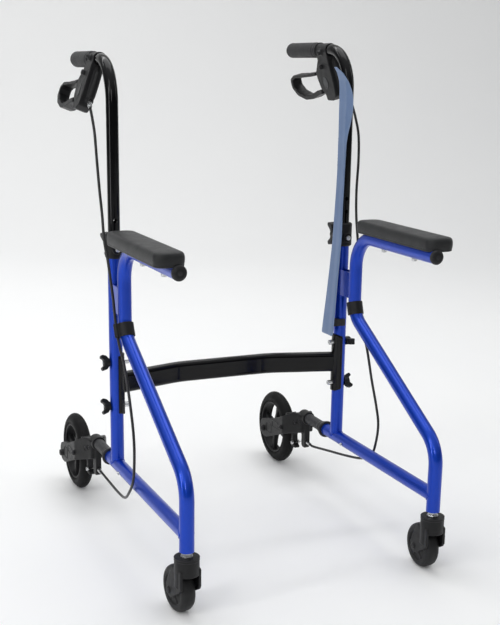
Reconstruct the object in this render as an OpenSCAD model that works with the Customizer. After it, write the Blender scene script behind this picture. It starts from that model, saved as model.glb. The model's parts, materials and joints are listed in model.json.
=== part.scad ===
// Three-sided walking frame with castors, large braked wheels and armrests.
// Millimetres, +Z up, +X to the user's right, +Y the way the user walks.
// The origin is on the floor below the middle of the whole frame.
// Each side frame is drawn about its own upright post and mirrored.

/* [Frame] */
// Distance from the middle of the frame to each post
half_width = 234; // [220:1:260]
// Wall of every tube
tube_wall = 1.5; // [1.2:0.1:1.6]
// Height of the base tube's axis
base_h = 144; // [140:1:148]
// How far the castor leg stands behind the post
leg_back = 369; // [350:1:380]
// How far the armrest upright stands behind the post
upright_back = 57; // [54:1:62]
// Height of the bend above the castor
knee_h = 234; // [225:1:240]
// Height of the bend below the armrest
elbow_h = 410; // [400:1:415]
// Height of the armrest tube's axis
arm_h = 565; // [555:1:570]
// How far the armrest tube reaches behind the post
arm_reach = 334; // [320:1:345]
// Top of the post, inside the height collar
post_top = 570; // [566:1:574]

/* [Handles] */
// Height of the left grip's axis
left_grip_h = 884; // [834:25:959]
// Height of the right grip's axis
right_grip_h = 909; // [834:25:959]
// Radius of the handle tube's top bend
handle_bend = 72; // [70:1:75]
// How far the grip reaches in front of the post
grip_reach = 252; // [240:1:260]
// Diameter of the grip
grip_d = 30; // [29:1:32]
// Angle that the left brake unit leans outwards about its grip
left_brake_lean = 21; // [8:1:24]
// Angle that the right brake unit leans outwards about its grip
right_brake_lean = 15; // [8:1:24]
// Angle that the left handle has turned in its post
left_handle_yaw = -2; // [-4:0.5:2]
// Angle that the right handle has turned in its post
right_handle_yaw = 0; // [-2:0.5:4]

/* [Crossbar] */
// Height of the crossbar's axis
bar_h = 301; // [295:1:310]
// Height of the crossbar's section
bar_tall = 40; // [36:1:42]
// Depth of the crossbar's section
bar_deep = 20; // [18:1:22]
// How far the middle of the crossbar bows forward of the posts
bar_bow = 40; // [36:1:42]
// Angle of the crossbar's two sloping ends
bar_angle = 15.6; // [14:0.2:17]
// Distance between the two bolts of a saddle
bolt_spread = 84; // [80:1:90]

/* [Wheels] */
// Width of the large tyre
tyre_w = 28; // [26:1:31]
// Diameter of the castor wheels
castor_d = 80; // [78:1:80]
// Width of the castor wheels
castor_w = 26; // [24:1:26]
// Distance from the swivel axis to the castor axle
castor_trail = 28; // [26:1:30]
// Angle that the left castor has swivelled to
left_castor_yaw = 6; // [-10:1:10]
// Angle that the right castor has swivelled to
right_castor_yaw = -2; // [-10:1:10]

/* [Armrests] */
// Length of the armrest pad
pad_l = 268; // [250:1:275]
// Width of the armrest pad
pad_w = 53; // [48:1:58]
// Thickness of the armrest pad
pad_t = 25; // [24:1:32]
// How far the pad sits outside the tube's axis
pad_out = 12; // [6:1:13]
// How far the front end of the pad is behind the post
pad_back = 68; // [66:1:78]

/* [Hidden] */
$fn = 48;
eps = 0.01;

LEFT = -1;
RIGHT = 1;
SIDES = [LEFT, RIGHT];

blue = [0.08, 0.22, 0.78];
gloss_black = [0.05, 0.05, 0.06];
dark_grey = [0.20, 0.20, 0.21];
soft_black = [0.13, 0.13, 0.14];
steel = [0.78, 0.79, 0.80];
shoehorn_blue = [0.42, 0.50, 0.66];

post_y = 14;
tube_d = 25;
handle_d = 21.9;
handle_drop = 459;
highest_grip_h = 959;
hole_pitch = 25;
hole_count = 6;
wheel_d = 160;
axle_fwd = 283;
bore_d = tube_d - 2 * tube_wall;
seam_l = 0.3;
seam_h = 0.02;
knee_r = 60;
elbow_r = 48;
shoulder_r = 60;
leg_bottom = 115;
base_front = 42;
collar_low = 537;
collar_high = 583;
collar_d = 34;
height_bolt_h = 555;
boss_h = 3;
bolt_d = 6;
bolt_hole_d = 6.4;
knob_bore_d = 6.1;
pad_bottom = arm_h + 8;
pad_screw_ys = [-160, -265];
clip_tall = 25;
cable_d = 5;
cable_out = 17;
wheel_r = wheel_d / 2;
fork_in = 20;
fork_out = 34;
brake_pivot = [190, 109];
stem_back = -62;
stem_front = 140;
cable_stop_h = 88;
snap_y = -46;
snap_angle = 15;
snap_d = 6;
castor_r = castor_d / 2;
castor_head_low = 83;
castor_head_high = 106;
lever_pivot = [105, -30];
lever_w = 22;
housing_w = 24;
adjuster_seat = [5, 70, -76];
clip_strip_h = 385;

// Outlines ---------------------------------------------------------------

function unit(v) = v / norm(v);

function turn(a) = a > 180 ? a - 360 : a < -180 ? a + 360 : a;

// The arc of radius r that rounds the corner p between a and b
function corner_arc(a, p, b, r, n) =
    let (
        u = unit(a - p),
        v = unit(b - p),
        half = acos(u * v) / 2,
        c = p + unit(u + v) * r / sin(half),
        s = p + u * r / tan(half) - c,
        e = p + v * r / tan(half) - c,
        a0 = atan2(s[1], s[0]),
        sweep = turn(atan2(e[1], e[0]) - a0)
    )
    [for (i = [0:n]) c + r * [cos(a0 + sweep * i / n), sin(a0 + sweep * i / n)]];

// A closed outline with every corner rounded to its radius
function rounded(points, radii, n = 4) =
    let (count = len(points))
    [
        for (i = [0:count - 1])
            each corner_arc(
                points[(i + count - 1) % count], points[i], points[(i + 1) % count],
                is_list(radii) ? radii[i] : radii, n
            )
    ];

function rectangle(w, h) = [[-w / 2, -h / 2], [w / 2, -h / 2], [w / 2, h / 2], [-w / 2, h / 2]];

// Placing ----------------------------------------------------------------

// One side frame's own space: X outwards, the post's axis at X = Y = 0
module on_side(side) {
    if (side == RIGHT)
        translate([half_width, post_y, 0]) children();
    else
        mirror([1, 0, 0]) translate([half_width, post_y, 0]) children();
}

// A handle's own space: X to the user's right, the post's axis at X = Y = 0
module on_handle(side) {
    translate([side * half_width, post_y, 0])
        rotate([0, 0, side == LEFT ? left_handle_yaw : right_handle_yaw]) children();
}

// A flat outline in the YZ plane, extruded from x0 to x1
module yz_slab(x0, x1) {
    translate([x0, 0, 0]) rotate([90, 0, 90]) linear_extrude(x1 - x0) children();
}

module along_y(y0, y1, d) {
    translate([0, y0, 0]) rotate([-90, 0, 0]) cylinder(d = d, h = y1 - y0);
}

module along_x(x0, x1, d) {
    translate([x0, 0, 0]) rotate([0, 90, 0]) cylinder(d = d, h = x1 - x0);
}

// Tubes bent in the YZ plane ---------------------------------------------

module straight_tube(a, b, outer, inner) {
    run = b - a;
    angle = atan2(run[1], run[0]);
    translate([0, a[0], a[1]]) rotate([angle, 0, 0]) rotate([-90, 0, 0])
        difference() {
            cylinder(d = outer, h = norm(run));
            if (inner > 0)
                translate([0, 0, -1]) cylinder(d = inner, h = norm(run) + 2);
        }
}

module elbow(c, r, start, sweep, outer, inner) {
    translate([0, c[0], c[1]]) rotate([90, 0, 90]) rotate([0, 0, start])
        rotate_extrude(angle = sweep)
            translate([r, 0]) difference() {
                circle(d = outer);
                if (inner > 0)
                    circle(d = inner);
            }
}

// Length of straight that a bend of radius r takes up at the corner b
function bend_run(a, b, c, r) = r * tan((180 - acos(unit(a - b) * unit(c - b))) / 2);

// Hairline weld ring over the seam between a straight and a bend
module seam_ring(p, dir, outer, inner) {
    straight_tube(
        p - dir * seam_l / 2, p + dir * seam_l / 2,
        outer + 2 * seam_h, inner > 0 ? inner - 2 * seam_h : 0
    );
}

// A tube through [y, z] points with one bend radius for each inner point
module bent_tube(points, radii, outer, inner) {
    last = len(points) - 1;
    function cut(i) = i == 0 || i == last
        ? 0 : bend_run(points[i - 1], points[i], points[i + 1], radii[i - 1]);
    for (i = [0:last - 1]) {
        dir = unit(points[i + 1] - points[i]);
        straight_tube(points[i] + dir * cut(i), points[i + 1] - dir * cut(i + 1), outer, inner);
    }
    for (i = [1:last - 1]) {
        u = unit(points[i - 1] - points[i]);
        v = unit(points[i + 1] - points[i]);
        r = radii[i - 1];
        c = points[i] + unit(u + v) * norm([r, cut(i)]);
        s = points[i] + u * cut(i) - c;
        e = points[i] + v * cut(i) - c;
        start = atan2(s[1], s[0]);
        sweep = turn(atan2(e[1], e[0]) - start);
        elbow(c, r, sweep > 0 ? start : start + sweep, abs(sweep), outer, inner);
        seam_ring(points[i] + u * cut(i), u, outer, inner);
        seam_ring(points[i] + v * cut(i), v, outer, inner);
    }
}

arm_points = [
    [-leg_back, leg_bottom], [-leg_back, knee_h], [-upright_back, elbow_h],
    [-upright_back, arm_h], [-arm_reach, arm_h]
];
arm_radii = [knee_r, elbow_r, shoulder_r];
elbow_centre = [
    -upright_back - elbow_r,
    elbow_h + bend_run(arm_points[1], arm_points[2], arm_points[3], elbow_r)
];

// Each cable clip's middle as [forwards, height], its tilt and how far its ear has turned
function clip_tilt(side) = side == LEFT ? 27 : 18.5;

function clip_turn(side) = side == LEFT ? 0 : 25;

function clip_middle(side) = elbow_centre + elbow_r * [cos(clip_tilt(side)), -sin(clip_tilt(side))];

// The point of a clip's cable that is so far above the clip's middle
function clip_place(side, above) =
    let (
        tilt = clip_tilt(side),
        forward = cable_out * sin(clip_turn(side))
    )
    [
        cable_out * cos(clip_turn(side)),
        clip_middle(side)[0] + forward * cos(tilt) + above * sin(tilt),
        clip_middle(side)[1] - forward * sin(tilt) + above * cos(tilt)
    ];

// Cables -----------------------------------------------------------------

// Routes as [outwards, forwards, height], from the brake unit to the clip
left_upper_route = [
    [25, 49.6, 799.7], [24.5, 40, 783], [24, 28, 755], [24, 18, 711], [24, 5, 659],
    [23, -5, 616], [24, -18, 573], [21.5, -29, 539], [20, -40, 504], [18, -48, 468],
    clip_place(LEFT, 15), clip_place(LEFT, 1)
];
right_upper_route = [
    [27.5, 48.7, 825], [31, 40, 808], [33, 27, 783], [33, 12, 750], [29.5, 2, 703],
    [22, -8, 646], [18, -18, 598], [16, -31, 551], [16, -38, 500], [14.8, -43, 465],
    clip_place(RIGHT, 15), clip_place(RIGHT, 1)
];
// Routes from the clip, in a slack bow under the base tube, to the cable stop
left_lower_route = [
    clip_place(LEFT, -1), clip_place(LEFT, -15), [18, -86, 386], [18, -106, 364],
    [18, -134, 308], [18, -154, 250],
    [19, -160, 205], [18, -149, 162], [17, -119, 128], [13, -82, 106],
    [9, -30, 97], [4, 50, 92], [0, 100, 88], [0, 114.6, 88]
];
right_lower_route = [
    clip_place(RIGHT, -1), clip_place(RIGHT, -15), [15, -62, 388], [17, -84, 342],
    [17, -105, 290], [18, -126, 240],
    [19, -135, 205], [18, -131, 168], [17, -118, 138], [14, -86, 120],
    [9, -28, 108], [3, 50, 96], [0, 100, 88], [0, 114.6, 88]
];

function spline(a, b, c, d, t) =
    0.5 * (2 * b + (c - a) * t + (2 * a - 5 * b + 4 * c - d) * t * t
        + (3 * b - a - 3 * c + d) * t * t * t);

function smooth_route(p, steps) =
    let (n = len(p) - 1)
    concat(
        [
            for (i = [0:n - 1], s = [0:steps - 1])
                spline(p[max(i - 1, 0)], p[i], p[i + 1], p[min(i + 2, n)], s / steps)
        ],
        [p[n]]
    );

module cable(route) {
    sides = 8;
    p = smooth_route(route, 2);
    n = len(p);
    rings = [
        for (i = [0:n - 1])
            let (
                t = unit(p[min(i + 1, n - 1)] - p[max(i - 1, 0)]),
                u = unit(cross(t, [1, 0, 0])),
                v = cross(t, u)
            )
            for (k = [0:sides - 1])
                p[i] + cable_d / 2 * (cos(k * 360 / sides) * u + sin(k * 360 / sides) * v)
    ];
    walls = [
        for (i = [0:n - 2], k = [0:sides - 1])
            let (a = i * sides + k, b = i * sides + (k + 1) % sides)
            [a, b, b + sides, a + sides]
    ];
    start_cap = [[for (k = [sides - 1:-1:0]) k]];
    end_cap = [[for (k = [0:sides - 1]) (n - 1) * sides + k]];
    polyhedron(rings, concat(walls, start_cap, end_cap));
}

// Side frame -------------------------------------------------------------

module post(side) {
    color(blue) on_side(side) difference() {
        translate([0, 0, base_h]) cylinder(d = tube_d, h = post_top - base_h);
        translate([0, 0, base_h - 1]) cylinder(d = bore_d, h = post_top);
        translate([0, 0, base_h]) along_y(-tube_d, tube_d, tube_d);
        for (z = [-1, 1])
            translate([0, 0, bar_h + z * bolt_spread / 2]) along_x(-tube_d, tube_d, bolt_hole_d);
        translate([0, 0, height_bolt_h]) along_y(-tube_d, tube_d, bolt_hole_d);
    }
}

module arm_tube(side) {
    color(blue) on_side(side) difference() {
        bent_tube(arm_points, arm_radii, tube_d, bore_d);
        for (y = pad_screw_ys)
            translate([0, y, arm_h - tube_d]) cylinder(d = bolt_hole_d, h = 2 * tube_d);
    }
}

module base_tube(side) {
    color(blue) on_side(side) difference() {
        translate([0, 0, base_h]) along_y(-leg_back, base_front, tube_d);
        translate([0, 0, base_h]) along_y(-leg_back - 1, base_front + 1, bore_d);
        translate([0, -leg_back, 0]) cylinder(d = tube_d, h = 2 * base_h);
    }
}

// The snap button's hole, in the base tube's outer or inner lower face
module snap_bore(d, from, to) {
    translate([0, snap_y, base_h]) rotate([0, -snap_angle, 0])
        translate([-to, 0, 0]) rotate([0, 90, 0]) cylinder(d = d, h = to - from);
}

module pierced_base_tube(side) {
    color(blue) difference() {
        base_tube(side);
        translate([side * half_width, post_y, 0]) snap_bore(snap_d + 0.8, 5, tube_d);
    }
}

// Two webs a side, welded between the post and the armrest upright
module gusset_plates() {
    web_low = 441;
    web_high = 491;
    web_t = 3;
    web_x = 7;
    color(blue) for (side = SIDES) on_side(side) difference() {
        for (x = [-1, 1])
            translate([x * web_x - web_t / 2, -upright_back, web_low])
                cube([web_t, upright_back, web_high - web_low]);
        cylinder(d = tube_d, h = post_top);
        translate([0, -upright_back, 0]) cylinder(d = tube_d, h = post_top);
    }
}

module height_collars() {
    lip = 2.5;
    r = collar_d / 2;
    top_bore = handle_d / 2 + 0.35;
    post_bore = tube_d / 2;
    color(soft_black) for (side = SIDES) on_side(side) difference() {
        union() {
            rotate_extrude() polygon([
                [top_bore, collar_low], [r - lip, collar_low], [r, collar_low + lip],
                [r, collar_high - lip], [r - lip, collar_high], [top_bore, collar_high]
            ]);
            translate([0, 0, height_bolt_h]) along_y(-r - boss_h, 0, 18);
        }
        translate([0, 0, collar_low - 1]) cylinder(r = post_bore, h = post_top - collar_low + 1);
        cylinder(r = top_bore, h = collar_high + 1);
        translate([0, 0, height_bolt_h]) along_y(-2 * r, 2 * r, bolt_hole_d);
    }
}

// Screws of the height collars and bolts of the crossbar saddles
module frame_bolts() {
    head_d = 10;
    head_h = 7;
    seat = saddle_r - 1;
    color(steel) for (side = SIDES) on_side(side) {
        translate([0, 0, height_bolt_h]) {
            along_y(-collar_d / 2 - boss_h - 3, -collar_d / 2 - boss_h, 9);
            along_y(-collar_d / 2 - boss_h, -handle_d / 2 - 0.4, bolt_d);
        }
        for (z = [-1, 1])
            translate([0, 0, bar_h + z * bolt_spread / 2]) {
                difference() {
                    along_x(-saddle_r - head_h, -seat, head_d);
                    translate([0, 0, -head_d]) cylinder(r = saddle_r, h = 2 * head_d);
                }
                along_x(-saddle_r - 1, 26, bolt_d);
            }
    }
}

// Round plug in each armrest tube and a drilled plug in each castor leg
module tube_plugs() {
    cap_r = tube_d / 2 + 0.4;
    color(soft_black) for (side = SIDES) on_side(side) {
        translate([0, -arm_reach, arm_h]) rotate([90, 0, 0]) rotate_extrude() polygon([
            [0, -14], [bore_d / 2, -14], [bore_d / 2, 0], [cap_r, 0], [cap_r, 2.5],
            [cap_r - 1.5, 5], [cap_r - 5, 6.6], [0, 7]
        ]);
        translate([0, -leg_back, leg_bottom]) difference() {
            cylinder(d = bore_d, h = 30);
            translate([0, 0, -1]) cylinder(d = 10, h = 32);
        }
    }
}

module armrest_pad(side) {
    screw_d = 5.8;
    edge = 5;
    color(soft_black) on_side(side) difference() {
        union() {
            translate([pad_out, -pad_back - pad_l / 2, pad_bottom])
                linear_extrude(pad_t - edge) polygon(rounded(rectangle(pad_w, pad_l), 16));
            translate([pad_out, -pad_back - pad_l / 2, pad_bottom + pad_t - edge])
                linear_extrude(edge)
                    polygon(rounded(rectangle(pad_w - 2 * edge, pad_l - 2 * edge), 12));
        }
        bent_tube(arm_points, arm_radii, tube_d, 0);
        translate([0, 0, arm_h]) along_y(-2 * arm_reach, -arm_reach + 1, tube_d + 3);
        for (y = pad_screw_ys)
            translate([0, y, pad_bottom - 1]) cylinder(d = screw_d, h = 16);
    }
}

module pad_screws() {
    screw_d = 5.8;
    head_d = 9.6;
    head_h = 3.2;
    color(steel) for (side = SIDES, y = pad_screw_ys) on_side(side)
        translate([0, y, 0]) {
            translate([0, 0, arm_h - tube_d / 2 - head_h]) cylinder(d = head_d, h = head_h);
            translate([0, 0, arm_h - tube_d / 2]) cylinder(d = screw_d, h = tube_d + 10);
        }
}

// Sleeve round the elbow of the arm tube, with an ear that holds the cable
module cable_clips() {
    sleeve_d = tube_d + 6;
    ear_d = cable_d + 5;
    color(soft_black) for (side = SIDES) on_side(side) difference() {
        translate([0, clip_middle(side)[0], clip_middle(side)[1]])
            rotate([-clip_tilt(side), 0, 0]) translate([0, 0, -clip_tall / 2]) difference() {
                union() {
                    cylinder(d = sleeve_d, h = clip_tall);
                    rotate([0, 0, clip_turn(side)]) translate([cable_out, 0, 0])
                        cylinder(d = ear_d, h = clip_tall);
                }
                rotate([0, 0, clip_turn(side)]) translate([cable_out, 0, -1])
                    cylinder(d = cable_d + 2.4, h = clip_tall + 2);
            }
        bent_tube(arm_points, arm_radii, tube_d + 0.1, 0);
    }
}

// Crossbar ---------------------------------------------------------------

bar_end_y = 6;
bar_end_x = half_width - 16;
bar_bend_r = 150;
saddle_r = tube_d / 2 + 3;
bar_corner_x = bar_end_x - (bar_bow - bar_end_y) / tan(bar_angle);

module bar_section(inset) {
    polygon(rounded(rectangle(bar_tall - 2 * inset, bar_deep - 2 * inset), 8 - inset, 5));
}

module bar_solid(inset, over) {
    run = bar_bend_r * tan(bar_angle / 2);
    slope = [-cos(bar_angle), sin(bar_angle)];
    end = [bar_end_x, bar_end_y] - slope * over;
    sloping = norm([bar_corner_x, bar_bow] - end) - run;
    flat = bar_corner_x - run;
    seam = [bar_corner_x, bar_bow] - slope * run;
    translate([0, post_y, bar_h]) {
        translate([-flat, bar_bow, 0]) rotate([0, 90, 0]) linear_extrude(2 * flat) bar_section(inset);
        for (side = SIDES) mirror([side == LEFT ? 1 : 0, 0, 0]) {
            translate([end[0], end[1], 0]) rotate([0, 0, -bar_angle]) rotate([0, -90, 0])
                linear_extrude(sloping) bar_section(inset);
            translate([flat, bar_bow - bar_bend_r, 0]) rotate([0, 0, 90 - bar_angle])
                rotate_extrude(angle = bar_angle, $fn = 96) translate([bar_bend_r, 0])
                    rotate(90) bar_section(inset);
            translate([flat - seam_l / 2, bar_bow, 0]) rotate([0, 90, 0])
                linear_extrude(seam_l) bar_section(inset - seam_h);
            translate([seam[0], seam[1], 0]) rotate([0, 0, -bar_angle]) rotate([0, 90, 0])
                linear_extrude(seam_l, center = true) bar_section(inset - seam_h);
        }
    }
}

module crossbar() {
    color(gloss_black) difference() {
        bar_solid(0, 6);
        bar_solid(tube_wall, 10);
        for (side = SIDES) on_side(side) cylinder(r = saddle_r, h = 2 * bar_h);
        for (side = SIDES) on_side(side)
            translate([0, -saddle_r, 0]) cube([40, 2 * saddle_r, 2 * bar_h]);
    }
}

// Half-round plates that seat the crossbar on the posts
module crossbar_saddles() {
    tall = 117;
    corner = 9;
    color(gloss_black) for (side = SIDES) on_side(side) intersection() {
        difference() {
            translate([0, 0, bar_h - tall / 2]) cylinder(r = saddle_r, h = tall);
            cylinder(d = tube_d + 0.05, h = 2 * bar_h);
            translate([0, -tube_d, 0]) cube([tube_d, 2 * tube_d, 2 * bar_h]);
            for (z = [-1, 1])
                translate([0, 0, bar_h + z * bolt_spread / 2]) along_x(-tube_d, 0, bolt_hole_d);
        }
        translate([-50, 0, bar_h]) rotate([0, 90, 0]) rotate([0, 0, 90]) linear_extrude(60)
            polygon(rounded(rectangle(2 * saddle_r, tall), corner));
    }
}

// A moulded wing knob on a plain neck: the axis is +Z and the seat is at z = 0
module wing_knob(tip, deep, wing_t, neck, bore_h) {
    difference() {
        union() {
            cylinder(d = 16, h = neck + 11);
            rotate([90, 0, 0]) translate([0, neck, -wing_t / 2]) linear_extrude(wing_t)
                polygon(rounded([
                    [-6, 1], [-tip + 3, 6], [-tip, deep - 2], [-tip + 7, deep], [-7, 11.5],
                    [7, 11.5], [tip - 7, deep], [tip, deep - 2], [tip - 3, 6], [6, 1]
                ], [2, 4, 3, 2, 5, 5, 2, 3, 4, 2]));
        }
        if (bore_h > 0)
            translate([0, 0, -1]) cylinder(d = knob_bore_d, h = bore_h + 1);
    }
}

module height_knob(side) {
    seat = collar_d / 2 + 0.4;
    tilt = side == LEFT ? 102 : 88;
    color(soft_black) on_side(side) translate([0, 0, height_bolt_h]) {
        translate([0, seat, 0]) rotate([-90, 0, 0]) rotate([0, 0, tilt])
            wing_knob(23, 23, 14, 13, 0);
        along_y(tube_d / 2 + 3, seat + eps, bolt_d);
    }
}

module bar_knob(side, end, tilt) {
    seat = tube_d / 2 + 0.3;
    color(soft_black) on_side(side)
        translate([seat, 0, bar_h + end * bolt_spread / 2]) rotate([0, 90, 0])
            rotate([0, 0, tilt]) wing_knob(15.5, 17, 12, 0, 14);
}

// Shoehorn and its holder ------------------------------------------------

// The shoehorn's lean, as [from the post, height]
horn_lean = [
    [-33, 366], [-28.5, 430], [-24, 500], [-20.9, 556], [-19.2, 600], [-17, 650], [-15.5, 700],
    [-14.6, 760], [-14.6, 835], [-16.5, 852], [-22, 867], [-30, 879]
];
horn_t = 2.6;
horn_peg_y = -9;
horn_peg_tip = -31.6;

function horn_side(offset) = [for (p = horn_lean) p + [offset, 0]];

function reversed(v) = [for (i = [len(v) - 1:-1:0]) v[i]];

module shoehorn() {
    outline = rounded([
        [13.5, 362], [7, 468], [2.5, 560], [2.5, 680], [6, 790], [6, 882], [0, 882],
        [-18, 866], [-32, 848], [-43, 824], [-46, 804], [-40, 776], [-28, 742],
        [-27, 660], [-32, 560], [-31, 470], [-32, 372], [-27, 362]
    ], [6, 60, 60, 60, 60, 2, 3, 10, 20, 14, 14, 20, 30, 60, 60, 60, 6, 5]);
    color(shoehorn_blue) on_side(RIGHT) difference() {
        intersection() {
            translate([0, 60, 0]) rotate([90, 0, 0]) linear_extrude(120)
                polygon(concat(horn_side(-horn_t / 2), reversed(horn_side(horn_t / 2))));
            yz_slab(-60, 20) polygon(outline);
        }
        translate([0, horn_peg_y, clip_strip_h]) along_x(horn_peg_tip - 0.3, -20, 5.6);
    }
}

// Spring ring on the right post; its peg sits in a blind hole behind the strip
module shoehorn_clip() {
    tall = 14;
    ring_r = tube_d / 2 + 2.5;
    back = -28.2;
    color(soft_black) on_side(RIGHT) difference() {
        union() {
            translate([0, 0, clip_strip_h - tall / 2]) {
                cylinder(r = ring_r, h = tall);
                translate([back, horn_peg_y - 5, 0]) cube([-back, 12, tall]);
            }
            translate([0, horn_peg_y, clip_strip_h]) along_x(horn_peg_tip, back, 5);
        }
        cylinder(d = tube_d + 0.05, h = 2 * clip_strip_h);
        translate([4, -tube_d, 0]) cube([tube_d, 2 * tube_d, 2 * clip_strip_h]);
    }
}

// Handles ----------------------------------------------------------------

function grip_h(side) = side == LEFT ? left_grip_h : right_grip_h;

module handle_tube(side) {
    low = grip_h(side) - handle_drop;
    first_hole = height_bolt_h - highest_grip_h + handle_drop;
    color(gloss_black) on_handle(side) difference() {
        bent_tube(
            [[0, low], [0, grip_h(side)], [grip_reach - 8, grip_h(side)]],
            [handle_bend], handle_d, handle_d - 2 * tube_wall
        );
        for (i = [0:hole_count - 1])
            translate([0, 0, low + first_hole + i * hole_pitch]) along_y(-handle_d, handle_d, 7);
    }
}

module grip(side) {
    start = 119;
    r = grip_d / 2;
    color(dark_grey) on_handle(side) translate([0, 0, grip_h(side)]) difference() {
        rotate([-90, 0, 0]) rotate_extrude() polygon([
            [0, start], [r - 0.4, start], [r - 0.4, start + 5], [r - 0.8, start + 5.5],
            [r - 0.8, start + 7], [r - 0.4, start + 7.5], [r - 0.4, start + 12],
            [r - 0.8, start + 12.5], [r - 0.8, start + 14], [r, start + 15],
            [r, grip_reach - 9], [r - 1.5, grip_reach - 4.5], [r - 5, grip_reach - 1.2],
            [r - 9, grip_reach], [0, grip_reach]
        ]);
        along_y(start - 1, grip_reach - 8, handle_d);
    }
}

// The brake unit's own space: grip axis at z = 0, leaning outwards
module on_brake(side) {
    lean = side == LEFT ? left_brake_lean : -right_brake_lean;
    on_handle(side) translate([0, 0, grip_h(side)]) rotate([0, lean, 0]) children();
}

module brake_housing(side) {
    clamp = [75, 118];
    body = rounded([
        [75, 4], [118, 4], [118, -17], [136, -42], [134, -54], [126, -74],
        [112, -84], [108, -97], [84, -97], [70, -88], [70, -60], [75, -20]
    ], [3, 3, 4, 5, 6, 6, 5, 5, 8, 5, 6, 6]);
    slot = [[96, -18], [160, -18], [160, -89], [96, -89]];
    color(dark_grey) on_brake(side) difference() {
        union() {
            along_y(clamp[0], clamp[1], 26);
            translate([0, 95, -1]) along_x(-14.5, -11, 13);
            yz_slab(-housing_w / 2, housing_w / 2) polygon(body);
        }
        along_y(clamp[0] - 1, clamp[1] + 1, handle_d + 0.1);
        yz_slab(-6.5, 6.5) polygon(slot);
        translate([0, lever_pivot[0], lever_pivot[1]]) along_x(-40, 40, 4.0);
        translate(adjuster_seat) rotate([120, 0, 0]) cylinder(d = 8, h = 40);
    }
}

module housing_screws(side) {
    face = housing_w / 2;
    color(gloss_black) on_brake(side) {
        translate([0, 95, -1]) along_x(-19, -14.5, 8.6);
        translate([0, lever_pivot[0], lever_pivot[1]]) {
            along_x(-face - 4.5, -face, 9);
            along_x(-face, face, 4);
            along_x(face, face + 2, 8);
        }
    }
}

// Threaded barrel that sets the cable, on the housing's rear face
module cable_adjuster(side) {
    color(steel) on_brake(side) translate(adjuster_seat) rotate([120, 0, 0]) {
        cylinder(d = 8, h = 12);
        translate([0, 0, 12]) cylinder(d = 9.5, h = 5, $fn = 6);
        translate([0, 0, 17]) cylinder(d = 6.5, h = 6);
    }
}

module brake_lever(side) {
    loop = rounded([
        [141, -42], [168, -45], [206, -48], [246, -49], [264, -58], [263, -76],
        [244, -91], [208, -99.5], [176, -97], [148, -89], [128, -85], [131, -76],
        [150, -79], [178, -87], [208, -91], [238, -84], [254, -72], [255, -61],
        [242, -55], [206, -53.5], [166, -51], [146, -49]
    ], [1.5, 20, 20, 12, 8, 10, 16, 30, 20, 16, 1.5, 1.5, 16, 20, 20, 12, 5, 4, 8, 20, 20, 1.5], 3);
    web = rounded([
        [105, -21], [146, -42.5], [147, -48], [128, -55], [121, -68], [132, -76.5],
        [129, -84.5], [100, -86], [98, -60], [96, -32]
    ], [4, 1, 1, 4, 4, 1, 1, 3, 20, 4], 3);
    color(dark_grey) on_brake(side) difference() {
        union() {
            yz_slab(-lever_w / 2, lever_w / 2) polygon(loop);
            yz_slab(-5.5, 5.5) polygon(web);
        }
        translate([0, lever_pivot[0], lever_pivot[1]]) along_x(-20, 20, 4.1);
    }
}

// Large wheels, their stems and brakes ------------------------------------

module stem_bushes() {
    color(dark_grey) for (side = SIDES) on_side(side)
        translate([0, 0, base_h]) rotate([-90, 0, 0]) rotate_extrude() polygon([
            [bore_d / 2, base_front], [16.8, base_front], [17.4, base_front + 3],
            [16.6, base_front + 6], [14, base_front + 13], [12.4, base_front + 21],
            [bore_d / 2, base_front + 27]
        ]);
}

module wheel_stems() {
    d = bore_d - 0.1;
    color(dark_grey) for (side = SIDES) difference() {
        on_side(side) translate([0, 0, base_h]) difference() {
            along_y(stem_back, stem_front, d);
            along_y(stem_back - 1, stem_front + 1, d - 2 * tube_wall);
        }
        translate([side * half_width, post_y, 0]) snap_bore(snap_d + 0.8, 5, tube_d);
    }
}

module snap_button(side) {
    bore_r = bore_d / 2 - tube_wall - 0.3;
    color(steel) translate([side * half_width, post_y, 0]) {
        snap_bore(snap_d, 3, tube_d / 2 + 3);
        snap_bore(snap_d + 3, 3, bore_r - 3.5);
    }
}

module wheel_fork(side) {
    plan = rounded([
        [fork_out, 310], [fork_in, 310], [fork_in, 186], [-fork_in, 186], [-fork_in, 310],
        [-fork_out, 310], [-fork_out, 186], [-18, 144], [-14, 131], [14, 131], [18, 144],
        [fork_out, 186]
    ], [1, 1, 14, 14, 1, 1, 16, 8, 3, 3, 8, 16]);
    profile = rounded([
        [301, 62], [301, 98], [240, 114], [190, 134], [158, 150], [142, 152],
        [131, 146], [131, 111], [190, 93], [270, 62]
    ], [17, 17, 60, 30, 16, 8, 6, 8, 60, 17]);
    bracket = rounded([[128, 135], [128, 75], [147, 75], [149, 135]], [2, 7, 7, 2]);
    color(dark_grey) on_side(side) difference() {
        union() {
            intersection() {
                linear_extrude(200) polygon(plan);
                yz_slab(-fork_out - 1, fork_out + 1) polygon(profile);
            }
            yz_slab(-6, 6) polygon(bracket);
            translate([0, 0, base_h]) along_y(123, 150, 28);
        }
        translate([0, 0, base_h]) along_y(90, stem_front, bore_d - 0.1);
        translate([0, axle_fwd, wheel_r]) along_x(-50, 50, 8);
        translate([0, brake_pivot[0], brake_pivot[1]]) along_x(-50, 50, 6);
        translate([0, 0, cable_stop_h]) along_y(100, 160, 6);
        yz_slab(-8, 8) polygon([[172, 60], [172, 128], [186, 140], [220, 140], [220, 60]]);
        for (p = fork_screw_places) translate([0, p[0], p[1]]) {
            along_x(p[2], 40, 8.4);
            along_x(-40, -p[2], 8.4);
        }
    }
}

// Each screw's place and the depth of its seat
fork_screw_places = [[140, 134, 14.4], [151, 130, 18.4]];

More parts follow.
